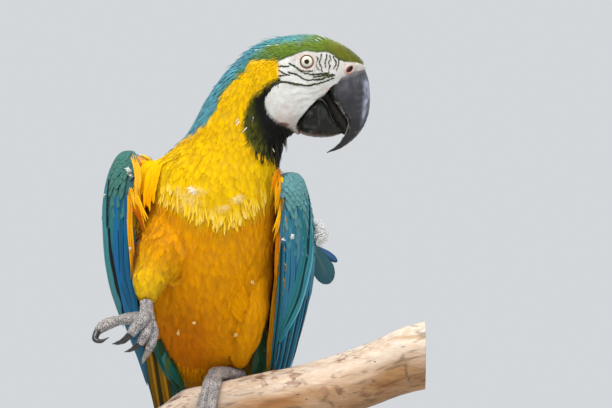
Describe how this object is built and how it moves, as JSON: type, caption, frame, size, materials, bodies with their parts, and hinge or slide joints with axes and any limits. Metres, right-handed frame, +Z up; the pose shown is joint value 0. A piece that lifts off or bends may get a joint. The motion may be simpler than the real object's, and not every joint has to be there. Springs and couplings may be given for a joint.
{
  "type": "blue-and-yellow macaw",
  "caption": "Still life-size blue-and-yellow macaw gripping a short cut branch, other foot raised, head turned to its left, held up by a plain display stand.",
  "frame": {"origin": "centre of the stand base's underside, on the floor", "axes": "+Z up; -Y the way the breast faces; +X to the bird's left, the way the bill points"},
  "size_m": [0.272, 0.3125, 0.7342],
  "materials": {
    "plumage_yellow": "soft feather",
    "plumage_blue": "satin feather",
    "plumage_teal": "satin feather",
    "plumage_green": "soft feather",
    "bare_skin": "matt",
    "bill": "satin horn",
    "tongue": "moist",
    "eye": "wet gloss",
    "foot_skin": "scaled, dry",
    "claw": "horn",
    "bark": "weathered, peeling",
    "stand_wood": "dark satin lacquer",
    "stand_metal": "satin black"
  },
  "bodies": {
    "root": {"trunk": "plumage_yellow", "neck": "plumage_yellow", "head": "plumage_green", "cere": "bare_skin", "eye_right": "eye", "eye_left": "eye", "bill_upper": "bill", "bill_lower": "bill", "tongue": "tongue", "thigh_left": "plumage_yellow", "shank_left": "foot_skin", "foot_left_toe2": "foot_skin", "claw_left_toe2": "claw", "foot_left_toe3": "foot_skin", "claw_left_toe3": "claw", "foot_left_toe1": "foot_skin", "claw_left_toe1": "claw", "foot_left_toe4": "foot_skin", "claw_left_toe4": "claw", "thigh_right": "plumage_yellow", "shank_right": "foot_skin", "foot_right_toe3": "foot_skin", "claw_right_toe3": "claw", "foot_right_toe2": "foot_skin", "claw_right_toe2": "claw", "foot_right_toe4": "foot_skin", "claw_right_toe4": "claw", "foot_right_toe1": "foot_skin", "claw_right_toe1": "claw", "tail_coverts_upper": "plumage_blue", "tail_coverts_under": "plumage_teal", "tail": "plumage_blue", "wing_right": "plumage_teal", "wing_right_primaries": "plumage_blue", "wing_right_secondaries": "plumage_blue", "wing_left": "plumage_teal", "wing_left_primaries": "plumage_blue", "wing_left_secondaries": "plumage_blue", "wing_left_loose_feather_1": "plumage_teal", "wing_left_loose_feather_2": "plumage_teal", "perch": "bark", "stand_rod": "stand_metal", "stand_base": "stand_wood"}
  },
  "joints": []
}
